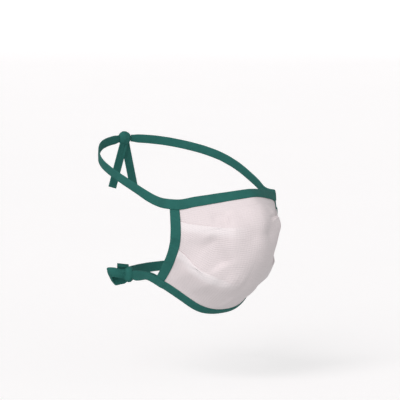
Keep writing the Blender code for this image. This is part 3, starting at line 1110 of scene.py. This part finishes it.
@dataclass
class Stitches:
    """Rows of machine stitches, gathered into one piece."""

    name: str
    rows: list[tuple[np.ndarray, np.ndarray]]
    pitch: float = 0.0027
    length: float = 0.0021
    radius: float = 0.00021
    sides: int = 6
    rings: int = 5
    arch: float = 1.3
    sink: float = 0.9
    thin: float = 0.55

    def build(self) -> bpy.types.Object:
        """Make all the stitches as one mesh.

        Returns:
            The piece.
        """
        vertices = []
        faces = []
        for points, outward in self.rows:
            run = lengths_along(points)
            count = int(run[-1] / self.pitch)
            starts = (np.arange(count) + 0.5) * run[-1] / count - self.length / 2
            for start in starts:
                at = start + self.length * np.linspace(0, 1, self.rings + 2)
                middle = np.stack([np.interp(at, run, points[:, i]) for i in range(3)], axis=1)
                normal = np.stack([np.interp(at, run, outward[:, i]) for i in range(3)], axis=1)
                self.add_stitch(vertices, faces, middle, unit(normal))
        mesh = bpy.data.meshes.new(self.name)
        mesh.from_pydata(vertices, [], faces)
        mesh.shade_smooth()
        sewing = linked(self.name, mesh)
        dress(sewing, THREAD_FINISH)
        return sewing

    def add_stitch(self, vertices: list, faces: list, middle: np.ndarray, normal: np.ndarray) -> None:
        """Add one stitch, which dives into the tape at both ends.

        Args:
            vertices: The mesh's points so far, which grow.
            faces: The mesh's faces so far, which grow.
            middle: The stitch's line on the tape.
            normal: The direction away from the tape at each of its points.
        """
        first = len(vertices)
        along = unit(middle[-1:] - middle[:1])
        side = np.cross(along, normal)
        swell = np.sin(math.pi * np.linspace(0, 1, self.rings + 2))
        centres = middle + normal * (self.radius * (self.arch * swell - self.sink))[:, None]
        girth = self.radius * (self.thin + (1 - self.thin) * swell)
        vertices.append(tuple(centres[0]))
        for i in range(1, self.rings + 1):
            for angle in np.linspace(0, 2 * math.pi, self.sides, endpoint=False):
                spoke = side[i] * math.cos(angle) + normal[i] * math.sin(angle)
                vertices.append(tuple(centres[i] + spoke * girth[i]))
        vertices.append(tuple(centres[-1]))
        last = len(vertices) - 1
        for k in range(self.sides):
            after = (k + 1) % self.sides
            faces.append((first, first + 1 + after, first + 1 + k))
            for i in range(self.rings - 1):
                low = first + 1 + i * self.sides
                high = low + self.sides
                faces.append((low + k, low + after, high + after, high + k))
            low = first + 1 + (self.rings - 1) * self.sides
            faces.append((low + k, low + after, last))


def sewn_lines(sections: np.ndarray, from_free: float) -> list[tuple[np.ndarray, np.ndarray]]:
    """Find the sewing lines on both leaves of a folded tape.

    Args:
        sections: The tape's points, as sections[station][place], from free edge to free edge.
        from_free: The line's distance from each free edge.

    Returns:
        For each leaf, the line's points on the tape's outer face, and the directions outwards.
    """
    lines = []
    inner = np.roll(sections, 1, axis=0)
    inner[0] = sections[0]
    ahead = np.roll(sections, -1, axis=0)
    ahead[-1] = sections[-1]
    for edge, inward in ((0, 1), (-1, -1)):
        one = sections[:, edge]
        two = sections[:, edge + inward]
        across = unit(two - one)
        along = unit(ahead[:, edge] - inner[:, edge])
        outward = np.cross(across, along) * inward
        points = one + across * from_free + outward * TAPE_WALL / 2
        lines.append((points, outward))
    return lines


def sewn_tape(name: str, node: str, sections: np.ndarray, seed: float) -> list[bpy.types.Object]:
    """Make a folded tape that wavers a little, and sew it.

    Args:
        name: The new piece's name.
        node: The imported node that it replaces.
        sections: The tape's points, as sections[station][place].
        seed: Sets how the tape wavers.

    Returns:
        The tape and its stitches.
    """
    push = unit(sections - sections.mean(axis=1, keepdims=True))
    sections = sections + push * (wander(sections, WAVER_GRAIN, seed) * WAVER)[..., None]
    sewing = Stitches(name + "_stitches", sewn_lines(sections, SECTION.sewn_at))
    return [tape_surface(name, node, sections), sewing.build()]


@dataclass
class LongTape:
    """The top or bottom tape: the binding of one edge, and the two ties that it runs on into."""

    name: str
    node: str
    edge: Edge
    form: CupForm
    routes: dict[Half, tuple[RoutePoint, ...]]
    tie_widths: dict[Half, float]
    waver_seed: float
    half_stations: int = 118
    lead: tuple[float, ...] = (0.90, 0.95, 1.0)
    tie_step: float = 0.0010
    tangent_nudge: float = 0.0010
    corner_swell: float = TAPE_WALL + AIR
    swell_start: float = 0.84
    swell_reach: float = 0.06
    closing: float = 0.5
    gather_reach: float = 0.0090
    gathered: float = 0.80

    def edge_distance(self, across: np.ndarray, inset: float) -> np.ndarray:
        """Find a line that runs along this tape's edge.

        Args:
            across: Where the columns lie, from -1 to 1.
            inset: How far the line lies from the edge.

        Returns:
            The line's distance down the cloth at each column.
        """
        if self.edge is Edge.BOTTOM:
            return self.form.heights(across) - inset
        return 0 * across + inset

    def binding(self, across: np.ndarray) -> np.ndarray:
        """Lay the tape along the panel's edge.

        Args:
            across: Where the columns lie, from -1 to 1.

        Returns:
            The tape's sections, as sections[station][place].
        """
        swell = smooth_step((np.abs(across) - self.swell_start) / self.swell_reach) * self.corner_swell
        sections = []
        for inset, height in SECTION.places(BINDING_HALF_GAP):
            lift = 0 * across + height + np.sign(height) * swell
            sections.append(self.form.lifted(across, self.edge_distance(across, inset), lift))
        return np.array(sections).transpose(1, 0, 2)

    def tie(self, half: Half) -> np.ndarray:
        """Lay one tie, from the cup's corner to its route's end.

        Args:
            half: The half of the cup that the tie starts from.

        Returns:
            The tie's sections, as sections[station][place].
        """
        upper = self.edge is Edge.TOP
        half_breadth = HEAD_HALF_BREADTH if upper else NECK_RADIUS
        half_length = HEAD_LENGTH - HEAD_MIDDLE_BACK if upper else NECK_RADIUS
        centre_back = HEAD_MIDDLE_BACK if upper else NECK_BACK
        scale = np.array((half_breadth, HEAD_LENGTH, WORN_HEIGHT))
        lead = np.array(self.lead)
        lead_in = self.form.lifted(lead, self.edge_distance(lead, TAPE_WIDTH / 2), 0 * lead)
        points = np.concatenate([lead_in, [scale * tuple(point) for point in self.routes[half]]])
        lengths = lengths_along(points)
        start = lengths[len(lead_in) - 1]
        count = round((lengths[-1] - start) / self.tie_step)
        at = np.linspace(start, lengths[-1], count + 1)[1:]
        middle = spline(lengths, points, at)
        ahead = spline(lengths, points, at + self.tangent_nudge)
        behind = spline(lengths, points, at - self.tangent_nudge)
        along = unit(ahead - behind)
        radial = middle - np.array((0, centre_back, 0))
        radial[:, 0] /= half_breadth ** 2
        radial[:, 1] /= half_length ** 2
        radial[:, 2] = 0
        last = self.binding(np.array((1.0,)))[0]
        count_fold = SECTION.leaf_points
        folded = last[count_fold:-count_fold].mean(axis=0)
        corner_inward = unit(last[0] + last[-1] - 2 * folded)
        corner_outward = unit(last[0] - last[-1])
        settled = smooth_step((at - start) / CORNER_TURN)[:, None]
        outward = unit(unit(radial) * settled + corner_outward * (1 - settled))
        outward = unit(outward - along * (outward * along).sum(axis=1, keepdims=True))
        inward = np.cross(along, outward) if upper else np.cross(outward, along)
        inward = unit(inward * settled + corner_inward * (1 - settled))
        first_gap = BINDING_HALF_GAP + self.corner_swell
        opened = 1 - smooth_step((at - start) / (self.closing * CORNER_TURN))
        half_gap = TIE_HALF_GAP + (first_gap - TIE_HALF_GAP) * opened
        to_knot = 1 - (lengths[-1] - at)[:, None] / self.gather_reach
        width = 1 + (self.tie_widths[half] / TAPE_WIDTH - 1) * settled
        width = width * (1 - (1 - self.gathered) * smooth_step(to_knot))
        sections = []
        for place, share in SECTION.places(TIE_HALF_GAP):
            from_middle = (place - TAPE_WIDTH / 2) * inward * width
            height = share + np.sign(share) * (half_gap - TIE_HALF_GAP) * min(1, abs(share) / TIE_HALF_GAP)
            sections.append(middle + from_middle + outward * height[:, None])
        sections = np.array(sections).transpose(1, 0, 2)
        if half is Half.NEAR:
            sections = sections * (-1, 1, 1)
        return sections

    def build(self) -> list[bpy.types.Object]:
        """Make the tape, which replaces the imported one, and its stitches.

        Returns:
            Both pieces.
        """
        across = np.linspace(-1, 1, 2 * self.half_stations + 1)
        parts = (self.tie(Half.NEAR)[::-1], self.binding(across), self.tie(Half.FAR))
        return sewn_tape(self.name, self.node, np.concatenate(parts), self.waver_seed)


@dataclass
class SideTape:
    """A side tape, folded over the panel's edge and swollen where the pleats' ends lie."""

    name: str
    node: str
    half: Half
    form: CupForm
    pleats: tuple[Pleat, Pleat]
    waver_seed: float = 4.2
    stations: int = 120
    tuck: float = 0.0024

    def sections(self) -> np.ndarray:
        """Lay the tape from its top end to its bottom end.

        Returns:
            Its sections, as sections[station][place].
        """
        columns = []
        for inset, height in SECTION.places(BINDING_HALF_GAP):
            across = np.full(self.stations, 1 - inset / MEAN_HALF_ROW)
            end = self.form.heights(across[:1])[0] - self.tuck
            distance = np.linspace(self.tuck, end, self.stations)
            swell = sum(pleat.swell(across * self.half.value, distance) for pleat in self.pleats)
            outwards = min(max(height / BINDING_HALF_GAP, 0), 1)
            columns.append(self.form.lifted(across, distance, height + outwards * swell))
        sections = np.array(columns).transpose(1, 0, 2)
        if self.half is Half.NEAR:
            sections = (sections * (-1, 1, 1))[::-1]
        return sections

    def build(self) -> list[bpy.types.Object]:
        """Make the tape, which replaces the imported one, and its stitches."""
        return sewn_tape(self.name, self.node, self.sections(), self.waver_seed)


@dataclass(frozen=True)
class Strip:
    """A closed-up tape along a line, curled across and gathered where a knot holds it."""

    name: str
    node: str
    curl: float
    gather_start: float
    gather_end: float
    gathers: float = 2.3
    gather_reach: float = 0.0070
    spacing: float = 0.0005
    least_stations: int = 16

    def build(self, centres: Sequence[Vector], widths: Sequence[Vector]) -> bpy.types.Object:
        """Make the strip.

        Args:
            centres: Points on the tape's middle line.
            widths: The tape's width at each, as a vector.

        Returns:
            The strip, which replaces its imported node.
        """
        run = lengths_along(np.array(centres))
        at = np.linspace(0, run[-1], max(self.least_stations, int(run[-1] / self.spacing)))
        middle = spline(run, centres, at)
        width = spline(run, widths, at)
        along = unit(np.gradient(middle, axis=0))
        outward = unit(np.cross(along, width))
        ripple = self.gather_start * np.exp(-at / self.gather_reach)
        ripple = ripple + self.gather_end * np.exp(-(run[-1] - at) / self.gather_reach)
        sections = []
        for place, height in STRIP_SECTION.places(TIE_HALF_GAP):
            share = (place - TAPE_WIDTH / 2) / TAPE_WIDTH
            wave = ripple * math.cos(2 * math.pi * self.gathers * share)
            offset = height + self.curl * (2 * share) ** 2 + wave
            sections.append(middle + width * share + outward * offset[:, None])
        return tape_surface(self.name, self.node, np.array(sections).transpose(1, 0, 2))


class Girth(NamedTuple):
    """How far out a knot's wrap lies at a place along its axis, both as shares of half its size."""

    along: float
    out: float


class Gather(NamedTuple):
    """A row of small folds round a knot: their number, twist and share of the knot's gather."""

    folds: int
    twist: float
    share: float


@dataclass(frozen=True)
class Knot:
    """A knot: a gathered wrap of tape whose rolled ends close on the ties."""

    name: str
    node: str
    size: tuple[float, float, float]
    profile: tuple[Girth, ...] = (
        Girth(-1.00, 0.02), Girth(-1.00, 0.16), Girth(-0.95, 0.30), Girth(-0.86, 0.46),
        Girth(-0.72, 0.64), Girth(-0.42, 0.90), Girth(0.00, 1.00), Girth(0.42, 0.91),
        Girth(0.72, 0.66), Girth(0.86, 0.48), Girth(0.95, 0.30), Girth(1.00, 0.16), Girth(1.00, 0.02),
    )
    samples: int = 61
    sides: int = 84
    groove: float = 0.10
    groove_width: float = 0.13
    groove_slant: float = 0.38
    gather: float = 0.035
    gathers: tuple[Gather, ...] = (Gather(5, 2.0, 1.0), Gather(11, -4.0, 0.5))

    def build(self, place: Vector, axis: Vector) -> bpy.types.Object:
        """Make the knot.

        Args:
            place: Its middle.
            axis: The direction in which the ties come in, level.

        Returns:
            The knot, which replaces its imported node.
        """
        along, across, up = (np.array(way) for way in (axis, axis.cross(Vector((0, 0, 1))), (0, 0, 1.0)))
        marks = np.linspace(0, 1, len(self.profile))
        shape = spline(marks, np.array(self.profile), np.linspace(0, 1, self.samples))
        angles = np.linspace(0, 2 * math.pi, self.sides, endpoint=False)[:, None]
        places = shape[None, :, 0]
        girth = shape[None, :, 1]
        turned = places - self.groove_slant * np.sin(angles)
        girth = girth * (1 - self.groove * np.exp(-(turned / self.groove_width) ** 2))
        for row in self.gathers:
            folds = np.cos(row.folds * angles + row.twist * places)
            girth = girth * (1 + row.share * self.gather * folds)
        length, depth, height = (measure / 2 for measure in self.size)
        grid = np.array(place) + (places * length)[..., None] * along
        grid = grid + (girth * np.cos(angles) * depth)[..., None] * across
        grid = grid + (girth * np.sin(angles) * height)[..., None] * up
        return tape_surface(self.name, self.node, grid, closed=True)


class LoopStation(NamedTuple):
    """A station of the bow's loop, in shares of its length from the knot."""

    out: float
    up: float
    ahead: float
    half_width: float
    lean: float


@dataclass
class LowerBow:
    """The lower knot, its loop and its short free end, at the right side of the neck.

    Starts and steps are given in parts along the loop, upwards, and ahead of both.
    """

    place: Vector = field(default_factory=lambda: Vector((-0.0572, 0.1107, -0.0844)))
    out: Vector = field(default_factory=lambda: Vector((-0.79, 0.61, 0.0)).normalized())
    loop_length: float = 0.0225
    tail_length: float = 0.0125
    tail_start: tuple[float, float, float] = (0.0012, 0.0048, -0.0046)
    tail_step: tuple[float, float, float] = (1.0, 0.18, 0.45)
    tail_lean: float = 0.50
    tail_stations: int = 4
    knot_shift: float = 0.0012
    knot_size: tuple[float, float, float] = (0.0125, 0.0094, 0.0152)
    loop: tuple[LoopStation, ...] = (
        LoopStation(0.050, 0.015, 0.030, 0.165, 0.00),
        LoopStation(0.215, 0.030, 0.080, 0.200, 0.05),
        LoopStation(0.400, 0.055, 0.160, 0.200, 0.05),
        LoopStation(0.610, 0.112, 0.215, 0.210, 0.15),
        LoopStation(0.800, 0.120, 0.190, 0.222, 0.36),
        LoopStation(0.915, 0.080, 0.090, 0.230, 0.50),
        LoopStation(0.915, -0.015, -0.010, 0.230, 0.50),
        LoopStation(0.865, -0.140, -0.130, 0.226, 0.50),
        LoopStation(0.775, -0.290, -0.230, 0.220, 0.45),
        LoopStation(0.470, -0.270, -0.290, 0.208, 0.20),
        LoopStation(0.215, -0.220, -0.170, 0.190, 0.05),
        LoopStation(0.050, -0.120, -0.040, 0.150, 0.00),
    )

    def way(self, out: float, up: float, ahead: float) -> Vector:
        """Return the vector that has the given parts."""
        return self.out * out + Vector((-self.out.y, self.out.x, 0)) * ahead + Vector((0, 0, up))

    def build(self) -> list[bpy.types.Object]:
        """Make the bow's pieces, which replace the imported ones.

        Returns:
            The loop, the free end and the knot.
        """
        centres = []
        widths = []
        for row in self.loop:
            centres.append(self.place + self.way(row.out, row.up, row.ahead) * self.loop_length)
            widths.append(self.way(row.lean, 1, 0).normalized() * 2 * row.half_width * self.loop_length)
        loop = Strip("lower_bow_loop", "lower_loop", curl=0.0008, gather_start=0.0006, gather_end=0.0006)
        start = self.place + self.way(*self.tail_start)
        step = self.way(*self.tail_step).normalized() * self.tail_length
        line = [start + step * share for share in np.linspace(0, 1, self.tail_stations)]
        width = self.way(0, 1, self.tail_lean).normalized() * TAPE_WIDTH
        tail = Strip("lower_bow_end", "lower_tail", curl=0.0003, gather_start=0.0004, gather_end=0.0)
        knot = Knot("lower_bow_knot", "lower_knot", self.knot_size)
        return [
            loop.build(centres, widths),
            tail.build(line, [width] * len(line)),
            knot.build(self.place + self.out * self.knot_shift, Vector((0, 1, 0))),
        ]


@dataclass
class UpperKnot:
    """The plain knot behind the head, with two short free ends."""

    size: tuple[float, float, float] = (0.0150, 0.0100, 0.0135)
    offset: Vector = field(default_factory=lambda: Vector((0.0, 0.0010, 0.0005)))
    tail_length: float = 0.0480
    tail_start: tuple[float, float, float] = (0.0015, 0.0013, -0.0040)
    tail_step: tuple[float, float, float] = (0.28, 0.06, -0.96)
    tail_stations: int = 6

    def build(self) -> list[bpy.types.Object]:
        """Make the knot and both ends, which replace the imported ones.

        Returns:
            The three pieces.
        """
        end = UPPER_ROUTE[-1]
        place = Vector((0, HEAD_LENGTH * end.back, WORN_HEIGHT * end.up)) + self.offset
        made = [Knot("upper_tie_knot", "upper_knot", self.size).build(place, Vector((1, 0, 0)))]
        start_side, start_back, start_up = self.tail_start
        step_side, step_back, step_up = self.tail_step
        for name, node, side in (
            ("upper_end_left", "upper_tail_left", 1),
            ("upper_end_right", "upper_tail_right", -1),
        ):
            start = place + Vector((side * start_side, side * start_back, start_up))
            step = Vector((side * step_side, step_back, step_up)).normalized() * self.tail_length
            line = [start + step * share for share in np.linspace(0, 1, self.tail_stations)]
            width = Vector((-step_up, 0.0, side * step_side)) * TAPE_WIDTH
            tail = Strip(name, node, curl=0.0004, gather_start=0.0005, gather_end=0.0)
            made.append(tail.build(line, [width] * len(line)))
        return made


def direction(azimuth: float, elevation: float) -> Vector:
    """Find the direction towards a viewer.

    Args:
        azimuth: The angle round the mask, in degrees.
        elevation: The angle upwards, in degrees.

    Returns:
        The direction, at length one.
    """
    turn = math.radians(azimuth)
    rise = math.radians(elevation)
    return Vector((math.sin(turn) * math.cos(rise), -math.cos(turn) * math.cos(rise), math.sin(rise)))


@dataclass(frozen=True)
class SoftLamp:
    """A wide, far lamp that shines on the mask from a direction given by angles."""

    name: str
    azimuth: float
    elevation: float
    spread: float
    strength: float
    colour: tuple[float, float, float] = (1.0, 1.0, 1.0)

    def build(self) -> bpy.types.Object:
        """Make the lamp.

        Returns:
            The lamp.
        """
        data = bpy.data.lights.new(self.name, "SUN")
        data.color = self.colour
        data.angle = math.radians(self.spread)
        data.energy = self.strength
        lamp = linked(self.name, data)
        lamp.location = direction(self.azimuth, self.elevation)
        lamp.rotation_euler = lamp.location.to_track_quat("Z", "Y").to_euler()
        return lamp


@dataclass
class Studio:
    """The camera at the photograph's angle, a plain pale floor that curves up, and soft lamps."""

    azimuth: float = -40.0
    elevation: float = 6.0
    away: float = 2.2
    metres_per_pixel: float = 0.00096
    frame_pixels: int = 400
    origin_pixel: tuple[float, float] = (248.0, 194.0)
    sensor: float = 36.0
    floor_up: float = -0.1900
    floor_first: float = 1.75
    floor_flat: float = 7.0
    floor_sides: int = 96
    floor_dark: tuple[float, float, float, float] = (0.80, 0.80, 0.80, 1.0)
    floor_light: tuple[float, float, float, float] = (0.83, 0.83, 0.83, 1.0)
    floor_mottle: float = 3.0
    floor_roughness: float = 0.9
    floor_glow: float = 0.30
    cove_radius: float = 2.5
    cove_rings: int = 13
    ambient: float = 0.455
    lamps: tuple[SoftLamp, ...] = (
        SoftLamp("key", -66.0, 38.0, 40.0, 1.66, (1.0, 0.935, 0.945)),
        SoftLamp("front", -30.0, 12.0, 60.0, 0.26),
        SoftLamp("low", -75.0, -35.0, 90.0, 0.38),
        SoftLamp("side", 15.0, -5.0, 90.0, 0.28),
    )

    def camera(self) -> bpy.types.Object:
        """Make the camera and set it as the scene's.

        Returns:
            The camera.
        """
        turn = math.radians(self.azimuth)
        back = direction(self.azimuth, self.elevation)
        right = Vector((math.cos(turn), math.sin(turn), 0))
        up = back.cross(right)
        middle = self.frame_pixels / 2
        aside = (middle - self.origin_pixel[0]) * self.metres_per_pixel
        above = (self.origin_pixel[1] - middle) * self.metres_per_pixel
        data = bpy.data.cameras.new("camera")
        data.sensor_width = self.sensor
        data.lens = self.sensor * self.away / (self.frame_pixels * self.metres_per_pixel)
        camera = linked("camera", data)
        camera.location = right * aside + up * above + back * self.away
        camera.rotation_euler = back.to_track_quat("Z", "Y").to_euler()
        bpy.context.scene.camera = camera
        return camera

    def floor(self) -> bpy.types.Object:
        """Make the pale floor, curved up all round like a studio's sweep.

        Returns:
            The floor.
        """
        profile = [(0.0, 0.0), (self.floor_first, 0.0)]
        for angle in np.radians(np.linspace(-90, 0, self.cove_rings)):
            away = self.floor_flat + self.cove_radius * math.cos(angle)
            profile.append((away, self.cove_radius * (1 + math.sin(angle))))
        rows = []
        for angle in np.linspace(0, 2 * math.pi, self.floor_sides, endpoint=False):
            aside, ahead = math.cos(angle), math.sin(angle)
            rows.append([(away * aside, away * ahead, self.floor_up + up) for away, up in profile])
        grid = np.array(rows)
        floor = surface("floor", grid, grid[..., :2], closed=True)
        nodes = Nodes("pale floor")
        nodes.dress({
            "Base Color": nodes.mix(nodes.noise(self.floor_mottle), self.floor_dark, self.floor_light),
            "Roughness": self.floor_roughness,
            "Emission Color": WHITE,
            "Emission Strength": self.floor_glow,
        })
        floor.data.materials.append(nodes.material)
        floor.visible_diffuse = False
        floor.visible_shadow = False
        return floor

    def build(self) -> None:
        """Set up the camera, floor, lamps and ambient light."""
        self.camera()
        self.floor()
        for lamp in self.lamps:
            lamp.build()
        world = bpy.data.worlds.new("soft studio")
        world.use_nodes = True
        light = world.node_tree.nodes["Background"].inputs
        light["Color"].default_value = WHITE
        light["Strength"].default_value = self.ambient
        bpy.context.scene.world = world
        bpy.context.scene.view_settings.view_transform = "Standard"


# The pleats' outer fold edges and how each opens on the near and the far half
UPPER_LINE = (
    PleatPlace(0.00, 0.268), PleatPlace(0.30, 0.264), PleatPlace(0.60, 0.253),
    PleatPlace(0.75, 0.240), PleatPlace(0.90, 0.212), PleatPlace(1.00, 0.190),
)
UPPER_OPENINGS = (
    Opening(at=0.52, fade=0.30, white=0.15, shift=0.0, mouth=0.0001),
    Opening(at=0.27, fade=0.12, white=0.20, shift=-0.046, mouth=0.0001),
)
LOWER_LINE = (
    PleatPlace(0.00, 0.652), PleatPlace(0.30, 0.640), PleatPlace(0.60, 0.607),
    PleatPlace(0.75, 0.563), PleatPlace(0.90, 0.492), PleatPlace(1.00, 0.470),
)
LOWER_OPENINGS = (
    Opening(at=0.64, fade=0.24, white=0.10, shift=0.0, mouth=0.0001),
    Opening(at=0.60, fade=0.20, white=0.25, shift=0.0, mouth=0.0001),
)


def main() -> None:
    """Build the mask's pieces and the studio."""
    logging.basicConfig(level=logging.INFO, format="%(name)s: %(message)s")
    form = CupForm(GUIDE_ROWS)
    pleats = (
        Pleat(form, UPPER_LINE, *UPPER_OPENINGS, puff=0.0003, spread=0.0100),
        Pleat(form, LOWER_LINE, *LOWER_OPENINGS, puff=0.0004, spread=0.0140),
    )
    upper_routes = {half: UPPER_ROUTE for half in Half}
    upper_widths = {half: UPPER_TIE_WIDTH for half in Half}
    lower_routes = {Half.NEAR: LOWER_RIGHT_ROUTE, Half.FAR: LOWER_LEFT_ROUTE}
    lower_widths = {Half.NEAR: LOWER_TIE_WIDTH, Half.FAR: TAPE_WIDTH}
    assemblies = (
        ClothPanel(form, pleats),
        LongTape("top_binding", "top_tape", Edge.TOP, form, upper_routes, upper_widths, 7.7),
        LongTape("bottom_binding", "bottom_tape", Edge.BOTTOM, form, lower_routes, lower_widths, 1.3),
        SideTape("side_binding_left", "side_tape_left", Half.FAR, form, pleats),
        SideTape("side_binding_right", "side_tape_right", Half.NEAR, form, pleats),
        LowerBow(),
        UpperKnot(),
    )
    for assembly in assemblies:
        for piece in assembly.build():
            LOG.info("built %s with %d faces", piece.name, len(piece.data.polygons))
    Studio().build()


if __name__ == "__main__":
    main()
